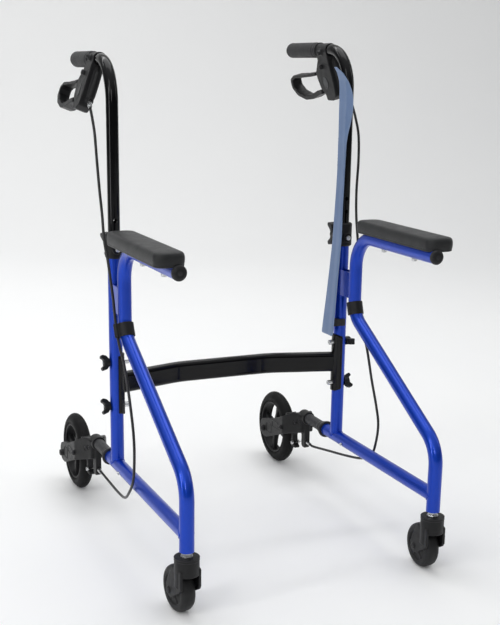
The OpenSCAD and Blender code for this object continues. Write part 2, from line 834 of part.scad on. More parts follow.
// Screws in both faces of each fork
module fork_screws() {
    color(soft_black) for (side = SIDES, p = fork_screw_places) on_side(side)
        translate([0, p[0], p[1]]) {
            along_x(p[2], p[2] + 2.2, 7.8);
            along_x(-p[2] - 2.2, -p[2], 7.8);
        }
}

module wheel_axles() {
    color(steel) for (side = SIDES) on_side(side) {
        translate([0, axle_fwd, wheel_r]) {
            along_x(-fork_out - 4, -fork_out, 13);
            along_x(-fork_out, fork_out, 8);
            along_x(fork_out, fork_out + 4, 13);
        }
        translate([0, brake_pivot[0], brake_pivot[1]]) {
            along_x(-fork_out - 3, -fork_out, 10);
            along_x(-fork_out, fork_out, 6);
            along_x(fork_out, fork_out + 3, 10);
        }
    }
}

// Ferrule and lock nut where each cable's outer ends
module cable_stops() {
    color(steel) for (side = SIDES) on_side(side) translate([0, 0, cable_stop_h]) {
        along_y(115, 128, 8);
        along_y(128, 143, 6);
    }
}

// Bell crank: shoe above the pivot, cable bolt below it
module brake_arm(side) {
    w = 6;
    crank = rounded([
        [184, 116], [203, 134], [213, 127], [199, 106], [199, 84], [198, 61],
        [177, 61], [177, 66], [186, 70], [187, 88], [184, 108]
    ], [3, 2, 2, 6, 8, 2, 1, 1, 4, 8, 6], 3);
    color(soft_black) on_side(side) {
        difference() {
            yz_slab(-w, w) polygon(crank);
            translate([0, brake_pivot[0], brake_pivot[1]]) along_x(-20, 20, 6.1);
        }
        translate([0, 211.3, 128.5]) along_x(-12, 12, 10);
    }
}

module tyre(side) {
    r = wheel_r;
    w = tyre_w / 2;
    inner_r = 55;
    color(soft_black) on_side(side) translate([0, axle_fwd, wheel_r]) rotate([0, 90, 0])
        rotate_extrude($fn = 96) polygon([
            [inner_r, -w + 4], [inner_r + 3, -w + 1], [r - 15, -w], [r - 9, -w + 1.8],
            [r - 4.5, -w + 5], [r - 1.3, -w + 9.5], [r, -2.5], [r, 2.5], [r - 1.3, w - 9.5],
            [r - 4.5, w - 5], [r - 9, w - 1.8], [r - 15, w], [inner_r + 3, w - 1], [inner_r, w - 4]
        ]);
}

module rim(side) {
    spokes = 4;
    rim_r = 55;
    rim_in = 48;
    hub_r = 15;
    bore = 8.1;
    color(dark_grey) on_side(side) translate([0, axle_fwd, wheel_r]) rotate([0, 90, 0]) difference() {
        union() {
            difference() {
                translate([0, 0, -12]) cylinder(r = rim_r, h = 24, $fn = 96);
                translate([0, 0, -13]) cylinder(r = rim_in, h = 26, $fn = 96);
            }
            translate([0, 0, -fork_in + 1]) cylinder(r = hub_r, h = 2 * fork_in - 2);
            for (i = [0:spokes - 1])
                rotate([0, 0, 12 + i * 360 / spokes]) translate([hub_r - 2, -6, -7])
                    cube([rim_in - hub_r + 4, 12, 14]);
        }
        translate([0, 0, -50]) cylinder(d = bore, h = 100);
    }
}

// Castors ----------------------------------------------------------------

function castor_yaw(side) = side == LEFT ? left_castor_yaw : right_castor_yaw;

// A castor's own space: swivel axis at X = Y = 0, trail towards +Y
module on_castor(side) {
    translate([side * half_width, post_y - leg_back, 0])
        rotate([0, 0, castor_yaw(side)]) children();
}

// Threaded stem, nut and washer below each castor leg
module castor_stems() {
    color(steel) for (side = SIDES) on_side(side) translate([0, -leg_back, 0]) {
        translate([0, 0, 90]) cylinder(d = 10, h = 52);
        translate([0, 0, castor_head_high + 0.4]) cylinder(d = 20, h = 1.6);
        translate([0, 0, castor_head_high + 2]) cylinder(d = 18.5, h = 7, $fn = 6);
    }
}

module castor_fork(side) {
    inner = castor_w / 2 + 1.6;
    outer = inner + 4.4;
    cheek = rounded([
        [-15, castor_head_low + 4], [-15, 74], [18, 32], [38, 32], [39, 48], [21, castor_head_low + 4]
    ], [3, 10, 9, 8, 9, 3]);
    color(soft_black) on_castor(side) difference() {
        union() {
            translate([0, 0, castor_head_low]) cylinder(d = 42, h = castor_head_high - castor_head_low);
            for (x = [-1, 1])
                yz_slab(x > 0 ? inner : -outer, x > 0 ? outer : -inner) polygon(cheek);
            translate([0, castor_trail, castor_r]) {
                along_x(-outer - 3, -outer, 11);
                along_x(-outer, outer, 7.9);
                along_x(outer, outer + 3, 11);
            }
        }
        translate([0, 0, 89]) cylinder(d = 10.1, h = 40);
    }
}

module castor_wheel(side) {
    r = castor_r;
    h = castor_w / 2;
    color(soft_black) on_castor(side) translate([0, castor_trail, castor_r]) rotate([0, 90, 0])
        rotate_extrude($fn = 72) polygon([
            [4, -h - 0.8], [11, -h - 0.8], [12, -h + 2], [27, -h + 3], [28, -h],
            [r - 5, -h], [r - 1.5, -h + 3], [r, -h + 8], [r, h - 8], [r - 1.5, h - 3],
            [r - 5, h], [28, h], [27, h - 3], [12, h - 2], [11, h + 0.8], [4, h + 0.8]
        ]);
}

// Cables -----------------------------------------------------------------

module cable_on(side, route) {
    color(soft_black) on_side(side) cable(route);
}

post(LEFT);  // left_post
post(RIGHT);  // right_post
arm_tube(LEFT);  // left_arm_tube
arm_tube(RIGHT);  // right_arm_tube
pierced_base_tube(LEFT);  // left_base_tube
pierced_base_tube(RIGHT);  // right_base_tube
gusset_plates();
height_collars();
frame_bolts();
tube_plugs();
armrest_pad(LEFT);  // left_armrest_pad
armrest_pad(RIGHT);  // right_armrest_pad
pad_screws();
cable_clips();
crossbar();
crossbar_saddles();
stem_bushes();
wheel_stems();
wheel_fork(LEFT);  // left_wheel_fork
wheel_fork(RIGHT);  // right_wheel_fork
fork_screws();
wheel_axles();
cable_stops();
cable_on(LEFT, left_lower_route);  // left_lower_cable
cable_on(RIGHT, right_lower_route);  // right_lower_cable
castor_stems();
shoehorn_clip();
handle_tube(LEFT);  // left_handle_tube
handle_tube(RIGHT);  // right_handle_tube
grip(LEFT);  // left_grip
grip(RIGHT);  // right_grip
brake_housing(LEFT);  // left_brake_housing
brake_housing(RIGHT);  // right_brake_housing
housing_screws(LEFT);  // left_housing_screws
housing_screws(RIGHT);  // right_housing_screws
cable_adjuster(LEFT);  // left_cable_adjuster
cable_adjuster(RIGHT);  // right_cable_adjuster
cable_on(LEFT, left_upper_route);  // left_upper_cable
cable_on(RIGHT, right_upper_route);  // right_upper_cable
brake_lever(LEFT);  // left_brake_lever
brake_lever(RIGHT);  // right_brake_lever
height_knob(LEFT);  // left_height_knob
height_knob(RIGHT);  // right_height_knob
bar_knob(LEFT, 1, -20);  // left_upper_bar_knob
bar_knob(LEFT, -1, -25);  // left_lower_bar_knob
bar_knob(RIGHT, 1, 90);  // right_upper_bar_knob
bar_knob(RIGHT, -1, -30);  // right_lower_bar_knob
brake_arm(LEFT);  // left_brake_arm
brake_arm(RIGHT);  // right_brake_arm
tyre(LEFT);  // left_tyre
tyre(RIGHT);  // right_tyre
rim(LEFT);  // left_rim
rim(RIGHT);  // right_rim
castor_fork(LEFT);  // left_castor_fork
castor_fork(RIGHT);  // right_castor_fork
castor_wheel(LEFT);  // left_castor_wheel
castor_wheel(RIGHT);  // right_castor_wheel
snap_button(LEFT);  // left_snap_button
snap_button(RIGHT);  // right_snap_button
shoehorn();
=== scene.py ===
import json
from math import acos, cos, pi, radians, sin

import bmesh
import bpy
from mathutils import Matrix, Vector


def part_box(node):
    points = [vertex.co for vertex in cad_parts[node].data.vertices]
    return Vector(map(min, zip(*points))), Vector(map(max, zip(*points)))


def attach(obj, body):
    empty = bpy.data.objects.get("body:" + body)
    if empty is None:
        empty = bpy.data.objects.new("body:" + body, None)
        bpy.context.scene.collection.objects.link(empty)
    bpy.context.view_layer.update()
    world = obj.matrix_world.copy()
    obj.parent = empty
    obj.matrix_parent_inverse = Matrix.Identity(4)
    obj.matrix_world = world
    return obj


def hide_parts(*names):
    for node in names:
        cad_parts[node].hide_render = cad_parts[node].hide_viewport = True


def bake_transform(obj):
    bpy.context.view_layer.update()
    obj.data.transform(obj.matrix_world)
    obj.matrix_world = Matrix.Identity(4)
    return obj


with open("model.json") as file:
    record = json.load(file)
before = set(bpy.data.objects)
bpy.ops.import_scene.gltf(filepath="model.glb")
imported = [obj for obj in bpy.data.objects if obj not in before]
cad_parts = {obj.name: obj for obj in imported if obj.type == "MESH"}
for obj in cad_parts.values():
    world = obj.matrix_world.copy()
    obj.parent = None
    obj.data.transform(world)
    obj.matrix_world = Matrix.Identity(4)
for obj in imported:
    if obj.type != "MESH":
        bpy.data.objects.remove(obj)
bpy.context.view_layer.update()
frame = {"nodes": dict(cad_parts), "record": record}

nodes = frame["nodes"]
MM = 0.001
SIDES = {"left": -1, "right": 1}


def centre(node):
    low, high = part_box(node)
    return [(a + b) / 2 for a, b in zip(low, high)]


# Places on a side frame: forward of its post and above the floor, in mm unless a line says otherwise
POST_X, POST_Y = centre("right_post")[:2]  # m
BASE_H = centre("right_base_tube")[2]      # m
LEG_Y = -369           # the rear leg and the castor below it
ARM_H = 565            # the armrest's tube
KNOB_H = 555           # the height clamp's screw
BAR_H = 301            # the crossbar
WHEEL_Y, WHEEL_H = 283, 80
PIVOT_Y, PIVOT_H = 190, 109  # the brake arm's pivot
STOP_H = 88            # the brake's cable stop
ELBOW_Y, ELBOW_H, ELBOW_R = -105, 438.06, 48  # the bend that carries the cable clip
WELD_R = 12.6          # a weld's path round a tube

# Each side's handle height in m, and the turns of its brake unit and castor in degrees
GRIP_H = {"left": 0.884, "right": 0.909}
LEAN = {"left": 21, "right": -15}
YAW = {"left": -2, "right": 0}
CASTOR_YAW = {"left": 6, "right": -2}


# Camera ---------------------------------------------------------------------

CAMERA_AZ, CAMERA_EL, CAMERA_ROLL = -24.15, 14.83, 0.87  # degrees
LENS, SENSOR = 65.7504, 36     # mm, the sensor along the image's longer side
SHIFT = (-0.003264, 0.091472)  # in parts of the image's longer side


def make_camera():
    """The camera at the fitted place, angles and focal length."""
    place = Vector((-0.8418, -1.9578, 0.8739))
    az, el, roll = radians(CAMERA_AZ), radians(CAMERA_EL), radians(CAMERA_ROLL)
    ahead = Vector((-sin(az) * cos(el), cos(az) * cos(el), -sin(el)))
    right = Vector((cos(az), sin(az), 0))
    up = right.cross(ahead)
    side = cos(roll) * right + sin(roll) * up
    top = -sin(roll) * right + cos(roll) * up
    camera = bpy.data.objects.new("camera", bpy.data.cameras.new("camera"))
    camera.matrix_world = Matrix((
        (side.x, top.x, -ahead.x, place.x),
        (side.y, top.y, -ahead.y, place.y),
        (side.z, top.z, -ahead.z, place.z),
        (0, 0, 0, 1),
    ))
    camera.data.sensor_width = SENSOR
    camera.data.lens = LENS
    camera.data.shift_x, camera.data.shift_y = SHIFT
    bpy.context.collection.objects.link(camera)
    bpy.context.scene.camera = camera


make_camera()


# Materials ------------------------------------------------------------------

def srgb(*levels):
    """A shader colour from red, green and blue levels of 0 to 255."""
    return tuple(((c / 255 + 0.055) / 1.055) ** 2.4 if c > 10 else c / 255 / 12.92 for c in levels) + (1,)


def node(tree, kind, links=(), **values):
    """A shader node with its inputs set from values and linked from links."""
    made = tree.nodes.new("ShaderNode" + kind)
    for name, value in values.items():
        if name in made.inputs:
            made.inputs[name].default_value = value
        elif name.replace("_", " ") in made.inputs:
            made.inputs[name.replace("_", " ")].default_value = value
        else:
            setattr(made, name, value)
    for name, source in dict(links).items():
        tree.links.new(source, made.inputs[name])
    return made


def surface(name, dark, light, blotch=18.0, rough=(0.35, 0.5), rough_scale=60.0,
            grains=(), edge=None, scratches=0.0, **sockets):
    """A surface with blotchy colour, uneven gloss, stacked fine bumps and paler worn edges.

    grains are (texture, scale, strength, distance); sockets go straight onto the shader."""
    mat = bpy.data.materials.new(name)
    mat.use_nodes = True
    tree = mat.node_tree
    shader = tree.nodes["Principled BSDF"]
    for key, value in sockets.items():
        shader.inputs[key.replace("_", " ")].default_value = value
    where = node(tree, "TexCoord").outputs["Object"]
    noise = node(tree, "TexNoise", {"Vector": where}, Scale=blotch, Detail=5.0, Roughness=0.6)
    colour = node(tree, "MixRGB", {"Fac": noise.outputs["Fac"]}, Color1=dark, Color2=light).outputs["Color"]
    if edge:
        bend = node(tree, "NewGeometry").outputs["Pointiness"]
        worn = node(tree, "MapRange", {"Value": bend}, From_Min=0.515, From_Max=0.60, To_Max=0.75)
        speck = node(tree, "TexNoise", {"Vector": where}, Scale=240.0, Detail=3.0)
        amount = node(tree, "Math", {0: worn.outputs["Result"], 1: speck.outputs["Fac"]},
                      operation="MULTIPLY").outputs[0]
        colour = node(tree, "MixRGB", {"Fac": amount, "Color1": colour}, Color2=edge).outputs["Color"]
    tree.links.new(colour, shader.inputs["Base Color"])
    gloss = node(tree, "TexNoise", {"Vector": where}, Scale=rough_scale, Detail=6.0, Roughness=0.65)
    level = node(tree, "MapRange", {"Value": gloss.outputs["Fac"]}, From_Min=0.3, From_Max=0.7,
                 To_Min=rough[0], To_Max=rough[1]).outputs["Result"]
    if scratches:
        stretch = node(tree, "Mapping", {"Vector": where}, Scale=(30.0, 30.0, 1.5))
        lines = node(tree, "TexNoise", {"Vector": stretch.outputs["Vector"]}, Scale=28.0, Detail=8.0)
        thin = node(tree, "MapRange", {"Value": lines.outputs["Fac"]}, From_Min=0.62, From_Max=0.72,
                    To_Max=scratches)
        level = node(tree, "Math", {0: level, 1: thin.outputs["Result"]}, operation="ADD").outputs[0]
    tree.links.new(level, shader.inputs["Roughness"])
    normal = None
    for kind, scale, strength, distance in grains:
        if kind == "cells":
            tex = node(tree, "TexVoronoi", {"Vector": where}, feature="DISTANCE_TO_EDGE", Scale=scale)
            edges = node(tree, "MapRange", {"Value": tex.outputs["Distance"]}, From_Max=0.12)
            height = edges.outputs["Result"]
        else:
            tex = node(tree, "TexNoise", {"Vector": where}, Scale=scale, Detail=4.0)
            height = tex.outputs["Fac"]
        links = {"Height": height}
        if normal:
            links["Normal"] = normal
        normal = node(tree, "Bump", links, Strength=strength, Distance=distance).outputs["Normal"]
    if normal:
        tree.links.new(normal, shader.inputs["Normal"])
    return mat


MATERIALS = {
    "blue_tube": surface(
        "blue_powder_coat", srgb(4, 54, 168), srgb(10, 66, 190), blotch=9, rough=(0.3, 0.36), rough_scale=35,
        grains=[("noise", 900, 0.05, 0.0001)],
        Metallic=0.6, Coat_Weight=0.35, Coat_Roughness=0.07, Specular_IOR_Level=0.3),
    "black_tube": surface(
        "gloss_black_paint", srgb(5, 5, 6), srgb(11, 11, 13), blotch=12, rough=(0.12, 0.2), rough_scale=40,
        grains=[("noise", 900, 0.04, 0.0001)],
        Coat_Weight=0.15, Coat_Roughness=0.05, Specular_IOR_Level=0.18),
    "black_plastic": surface(
        "moulded_plastic", srgb(15, 15, 16), srgb(24, 24, 26), blotch=30, rough=(0.38, 0.55), rough_scale=90,
        grains=[("noise", 900, 0.22, 0.0003), ("noise", 150, 0.06, 0.0006)], edge=srgb(70, 70, 73),
        Specular_IOR_Level=0.28),
    "grip_rubber": surface(
        "grip_rubber", srgb(32, 32, 34), srgb(46, 46, 48), blotch=40, rough=(0.6, 0.75),
        grains=[("cells", 700, 0.25, 0.0003), ("noise", 1400, 0.3, 0.0003)], edge=srgb(70, 70, 72),
        Specular_IOR_Level=0.3, Sheen_Weight=0.06, Sheen_Roughness=0.5),
    "pad_vinyl": surface(
        "pad_skin", srgb(24, 25, 26), srgb(36, 37, 38), blotch=14, rough=(0.4, 0.52), rough_scale=45,
        grains=[("cells", 620, 0.25, 0.0004), ("noise", 260, 0.08, 0.0005)], edge=srgb(52, 53, 55),
        Specular_IOR_Level=0.3, Sheen_Weight=0.04, Sheen_Roughness=0.45),
    "tyre": surface(
        "tyre_rubber", srgb(13, 13, 14), srgb(24, 24, 25), blotch=26, rough=(0.5, 0.7),
        grains=[("noise", 520, 0.25, 0.0005), ("noise", 1500, 0.3, 0.0002)], edge=srgb(46, 46, 46),
        Specular_IOR_Level=0.13),
    "castor_tyre": surface(
        "castor_rubber", srgb(18, 18, 19), srgb(31, 31, 32), blotch=34, rough=(0.42, 0.62),
        grains=[("noise", 700, 0.22, 0.0004)], edge=srgb(70, 70, 72), Specular_IOR_Level=0.3),
    "cable_sleeve": surface(
        "cable_sleeve", srgb(12, 12, 13), srgb(24, 24, 26), blotch=50, rough=(0.28, 0.42),
        grains=[("noise", 800, 0.12, 0.0002)], Specular_IOR_Level=0.5),
    "steel": surface(
        "zinc_plate", srgb(176, 178, 180), srgb(222, 223, 224), blotch=120, rough=(0.2, 0.38),
        grains=[("noise", 900, 0.15, 0.0002)], edge=srgb(240, 240, 240), Metallic=1.0),
    # Near-black screw heads. On the wheel axles and the wheel-fork screws this dark is painted shade,
    # standing in for the recesses they sit in.
    "black_screw": surface(
        "dark_screws_and_painted_recess_shade", srgb(16, 16, 17), srgb(34, 34, 36), blotch=150, rough=(0.32, 0.5),
        grains=[("noise", 1100, 0.2, 0.0002)], edge=srgb(110, 110, 112), Metallic=0.7),
    "shoehorn_plastic": surface(
        "shoehorn_plastic", srgb(92, 114, 150), srgb(108, 131, 168), blotch=7, rough=(0.34, 0.46),
        rough_scale=30, grains=[("noise", 500, 0.08, 0.0003)], edge=srgb(150, 166, 192), scratches=0.1,
        Specular_IOR_Level=0.5, Subsurface_Weight=0.04, Subsurface_Radius=(0.002, 0.002, 0.003)),
}
BADGE = surface("satin_badge", srgb(50, 51, 53), srgb(60, 61, 63), rough=(0.35, 0.5),
                grains=[("noise", 1200, 0.1, 0.0002)], Specular_IOR_Level=0.35)

# Each node's material slot and body, from the record
SLOT_OF = {row["node"]: row["material_slot"] for row in frame["record"]["subparts"]}
BODY_OF = {name: body for body, names in frame["record"]["behaviour"]["bodies"].items() for name in names}

for name, obj in nodes.items():
    obj.data.materials.clear()
    # The wheel axles take the near-black screw material instead of their own slot: painted shade for the
    # recesses they sit in.
    obj.data.materials.append(MATERIALS["black_screw" if name == "wheel_axles" else SLOT_OF[name]])


# Mesh helpers ---------------------------------------------------------------

def linked(name, data):
    """A new object of data, in the scene."""
    obj = bpy.data.objects.new(name, data)
    bpy.context.collection.objects.link(obj)
    return obj


def piece(name, bm, slot, body=None, stands_for=(), sharp=38):
    """A new object from bm, in its material, riding on its body."""
    mesh = bpy.data.meshes.new(name)
    bmesh.ops.recalc_face_normals(bm, faces=bm.faces)
    bm.to_mesh(mesh)
    bm.free()
    return finish_piece(linked(name, mesh), slot, body, stands_for, sharp)


def finish_piece(obj, slot, body, stands_for=(), sharp=38):
    """Gives a piece its material, its shading, its body and the CAD nodes that it stands for."""
    obj.data.materials.clear()
    obj.data.materials.append(MATERIALS[slot])
    obj.data.shade_smooth()
    obj.data.set_sharp_from_angle(angle=radians(sharp))
    if body:
        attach(obj, body)
    if stands_for:
        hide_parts(*stands_for)
    return obj


def mould(obj, voxel, passes):
    """Makes the object's mesh one skin, of voxels in mm, with its edges rounded by smoothing passes."""
    remesh = obj.modifiers.new("remesh", "REMESH")
    remesh.mode = "VOXEL"
    remesh.voxel_size = voxel * MM
    smooth = obj.modifiers.new("smooth", "SMOOTH")
    smooth.factor = 0.5
    smooth.iterations = passes
    graph = bpy.context.evaluated_depsgraph_get()
    mesh = bpy.data.meshes.new_from_object(obj.evaluated_get(graph))
    obj.modifiers.clear()
    old = obj.data
    obj.data = mesh
    bpy.data.meshes.remove(old)


def softened(name, voxel, passes, sharp=60):
    """The CAD node's own shape with moulded, rounded edges, standing for it."""
    obj = linked("moulded_" + name, nodes[name].data.copy())
    mould(obj, voxel, passes)
    return finish_piece(obj, SLOT_OF[name], BODY_OF[name], [name], sharp)


def add_rings(bm, rings, close_ends=True, closed=False):
    """Skins a list of equally long rings of points."""
    verts = [[bm.verts.new(p) for p in ring] for ring in rings]
    count = len(verts[0])
    pairs = list(zip(verts, verts[1:])) + ([(verts[-1], verts[0])] if closed else [])
    for a, b in pairs:
        for k in range(count):
            bm.faces.new((a[k], a[(k + 1) % count], b[(k + 1) % count], b[k]))
    if close_ends and not closed:
        bm.faces.new(verts[0][::-1])
        bm.faces.new(verts[-1])


def add_tube(bm, points, radius, sides=14, closed=False):
    """A round tube along points; radius is a number or a function of the point's index."""
    points = [Vector(p) for p in points]
    count = len(points)
    size = radius if callable(radius) else (lambda i: radius)
    u = None
    rings = []
    for i, p in enumerate(points):
        a = points[i - 1] if (i > 0 or closed) else points[0]
        b = points[(i + 1) % count] if (i < count - 1 or closed) else points[-1]
        t = (b - a).normalized()
        if u is None:
            u = t.cross(Vector((0, 0, 1)))
            if u.length < 0.2:
                u = t.cross(Vector((1, 0, 0)))
        u = (u - t * u.dot(t)).normalized()
        v = t.cross(u)
        r = size(i)
        turns = [2 * pi * k / sides for k in range(sides)]
        rings.append([p + r * (cos(a) * u + sin(a) * v) for a in turns])
    add_rings(bm, rings, closed=closed)


def add_revolve(bm, profile, matrix, segments=96, shape=None):
    """Revolves closed (radius, along) points about the matrix's Z axis."""
    rings = []
    for s in range(segments):
        a = 2 * pi * s / segments
        rings.append([
            matrix @ Vector((r * cos(a), r * sin(a), z))
            for r, z in (shape(profile, a) if shape else profile)
        ])
    add_rings(bm, rings, closed=True)


def spline(points, steps):
    """The same smooth line through points as the model's own cables follow."""
    points = [Vector(p) for p in points]
    last = len(points) - 1
    line = []
    for i in range(last):
        a, b, c, d = points[max(i - 1, 0)], points[i], points[i + 1], points[min(i + 2, last)]
        for s in range(steps):
            t = s / steps
            line.append(0.5 * (2 * b + (c - a) * t + (2 * a - 5 * b + 4 * c - d) * t ** 2
                               + (3 * b - a - 3 * c + d) * t ** 3))
    return line + [points[-1]]


def aim(place, axis, turn=0.0):
    """A matrix at place whose Z points along axis."""
    point = Vector(axis).to_track_quat("Z", "Y").to_matrix().to_4x4()
    return Matrix.Translation(Vector(place)) @ point @ Matrix.Rotation(turn, 4, "Z")


def side_point(side, out, forward, up):
    """From a side frame's own space (mm from its post) to the shared frame (m)."""
    return Vector((SIDES[side] * (POST_X + out * MM), POST_Y + forward * MM, up * MM))


def grip_matrix(side):
    """The space of a handle's grip, in metres: Y along the grip, from above the post."""
    post = Matrix.Translation((SIDES[side] * POST_X, POST_Y, 0))
    return post @ Matrix.Rotation(radians(YAW[side]), 4, "Z") @ Matrix.Translation((0, 0, GRIP_H[side]))


def unit_matrix(side):
    """The brake unit's own space, in mm."""
    return grip_matrix(side) @ Matrix.Rotation(radians(LEAN[side]), 4, "Y") @ Matrix.Scale(MM, 4)


# Brake cables -----------------------------------------------------------------

CABLE_D = 5 * MM
# Each clip's tilt round the arm tube's elbow and the turn of its ear, in radians
CLIP = {"left": (radians(27), 0.0), "right": (radians(18.5), radians(25))}


def clip_place(side, above, out=17.0):
    """The point of a cable's route that is so far above the middle of its clip."""
    tilt, turn = CLIP[side]
    forward = out * sin(turn)
    y, z = ELBOW_Y + ELBOW_R * cos(tilt), ELBOW_H - ELBOW_R * sin(tilt)
    return (out * cos(turn),
            y + forward * cos(tilt) + above * sin(tilt),
            z - forward * sin(tilt) + above * cos(tilt))


# The cables' routes: out from the post, forward of it and above the floor, in mm
UPPER = {
    "left": [
        (25, 49.6, 799.7), (24.5, 40, 783), (24, 28, 755), (24, 18, 711), (24, 5, 659), (23, -5, 616),
        (24, -18, 573), (21.5, -29, 539), (20, -40, 504), (18, -48, 468),
        clip_place("left", 15), clip_place("left", 1)],
    "right": [
        (27.5, 48.7, 825), (31, 40, 808), (33, 27, 783), (33, 12, 750), (29.5, 2, 703), (22, -8, 646),
        (18, -18, 598), (16, -31, 551), (16, -38, 500), (14.8, -43, 465),
        clip_place("right", 15), clip_place("right", 1)],
}
LOWER = {
    "left": [
        clip_place("left", -1), clip_place("left", -15), (18, -86, 386), (18, -106, 364), (18, -134, 308),
        (18, -154, 250), (19, -160, 205), (18, -149, 162), (17, -119, 128), (13, -82, 106),
        (9, -30, 97), (4, 50, 92), (0, 100, 88), (0, 114.6, 88)],
    "right": [
        clip_place("right", -1), clip_place("right", -15), (15, -62, 388), (17, -84, 342), (17, -105, 290),
        (18, -126, 240), (19, -135, 205), (18, -131, 168), (17, -118, 138), (14, -86, 120),
        (9, -28, 108), (3, 50, 96), (0, 100, 88), (0, 114.6, 88)],
}


def make_cable(side, part, route):
    """One brake cable's sleeve: upper from housing to clip, lower from clip to wheel brake."""
    name = f"{side}_{part}_cable"
    line = spline([side_point(side, *p) for p in route], 6)
    bm = bmesh.new()
    add_tube(bm, line, CABLE_D / 2, 16)
    obj = piece(f"sleeved_{name}", bm, "cable_sleeve", "frame" if part == "lower" else None, [name])
    if part == "upper":
        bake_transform(obj)


for side in SIDES:
    make_cable(side, "upper", UPPER[side])
    make_cable(side, "lower", LOWER[side])


# Studio -----------------------------------------------------------------------

SKY_LOW, SKY_HIGH = 0.05, 0.85  # the sky's strength near the horizon and overhead
CURVE_R, CURVE_Y = 1.6, 3.2     # the paper's curve from floor to backdrop, in m


def make_stage():
    """A pale paper floor that curves up behind the frame, square to the camera."""
    bm = bmesh.new()
    curve = [(CURVE_Y + CURVE_R * sin(a * pi / 24), CURVE_R - CURVE_R * cos(a * pi / 24)) for a in range(13)]
    depth = [(-6.0, 0.0)] + curve + [(4.8, 6.0)]
    turn = Matrix.Rotation(radians(-CAMERA_AZ), 4, "Z").inverted()
    rows = [[bm.verts.new(turn @ Vector((x, y, z))) for x in (-8.0, 8.0)] for y, z in depth]
    for a, b in zip(rows, rows[1:]):
        bm.faces.new((a[0], a[1], b[1], b[0]))
    mesh = bpy.data.meshes.new("studio_sweep")
    bm.to_mesh(mesh)
    bm.free()
    mesh.shade_smooth()
    floor = linked("studio_sweep", mesh)
    mesh.materials.append(surface(
        "studio_paper", srgb(243, 243, 243), srgb(247, 247, 246), blotch=1.2, rough=(0.55, 0.7),
        grains=[("noise", 90, 0.02, 0.0005)], Specular_IOR_Level=0.25))


def make_light(name, place, target, size, power):
    """A soft box of size, in m, at place and facing target."""
    light = bpy.data.lights.new(name, "AREA")
    light.shape = "RECTANGLE"
    light.size, light.size_y = size
    light.energy = power
    linked(name, light).matrix_world = aim(place, Vector(place) - Vector(target))


def make_lights():
    """A sky that is bright overhead and darkens down to the horizon, and six soft boxes.

    Where the sky itself is seen, it is an even pale grey."""
    world = bpy.data.worlds.new("studio")
    world.use_nodes = True
    tree = world.node_tree
    way = node(tree, "TexCoord").outputs["Generated"]
    parts = node(tree, "SeparateXYZ", {"Vector": way})
    rise = node(tree, "MapRange", {"Value": parts.outputs["Z"]}, From_Min=0.15, From_Max=0.95,
                To_Min=SKY_LOW, To_Max=SKY_HIGH)
    back = tree.nodes["Background"]
    back.inputs["Color"].default_value = (0.97, 0.985, 1.0, 1)
    tree.links.new(rise.outputs["Result"], back.inputs["Strength"])
    pale = node(tree, "Background", Color=(0.80, 0.81, 0.82, 1), Strength=1.0)
    seen = node(tree, "LightPath").outputs["Is Camera Ray"]
    both = node(tree, "MixShader", {0: seen, 1: back.outputs[0], 2: pale.outputs[0]})
    tree.links.new(both.outputs[0], tree.nodes["World Output"].inputs["Surface"])
    bpy.context.scene.world = world
    make_light("overhead", (0.2, 0.9, 3.4), (0, 0.3, 0.2), (3.0, 2.4), 38)
    make_light("key", (-2.3, -1.7, 2.5), (0, 0, 0.5), (0.9, 1.6), 12)
    make_light("side_strip", (-2.5, -0.75, 1.1), (0, 0, 0.6), (0.22, 1.7), 13)
    make_light("front_strip", (-1.35, -2.9, 1.7), (0, 0, 0.5), (0.2, 1.3), 11)
    make_light("fill", (2.9, -0.9, 1.9), (0, 0, 0.5), (0.5, 2.0), 7)
    make_light("backdrop", (-1.6, 2.2, 3.6), (-1.3, 4.4, 0.8), (3.4, 0.8), 58)


bpy.context.scene.view_settings.view_transform = "Standard"
make_stage()
make_lights()


# Armrest pads -------------------------------------------------------------------

def pad_ring(half_w, half_l, corner, steps=10, straight=8):
    """Points round a rounded rectangle, with the long sides divided evenly."""
    corner = min(corner, half_w - 0.2, half_l - 0.2)
    ring = []
    for quarter in range(4):
        sx, sy = ((1, 1), (-1, 1), (-1, -1), (1, -1))[quarter]
        for k in range(steps + 1):
            a = (quarter + k / steps) * pi / 2
            ring.append((sx * (half_w - corner) + corner * cos(a), sy * (half_l - corner) + corner * sin(a)))
        nx, ny = ((-1, 1), (-1, -1), (1, -1), (1, 1))[quarter]
        a = (quarter + 1) * pi / 2
        start = ring[-1]
        end = (nx * (half_w - corner) + corner * cos(a), ny * (half_l - corner) + corner * sin(a))
        for k in range(1, straight):
            t = k / straight
            ring.append((start[0] * (1 - t) + end[0] * t, start[1] * (1 - t) + end[1] * t))
    return ring


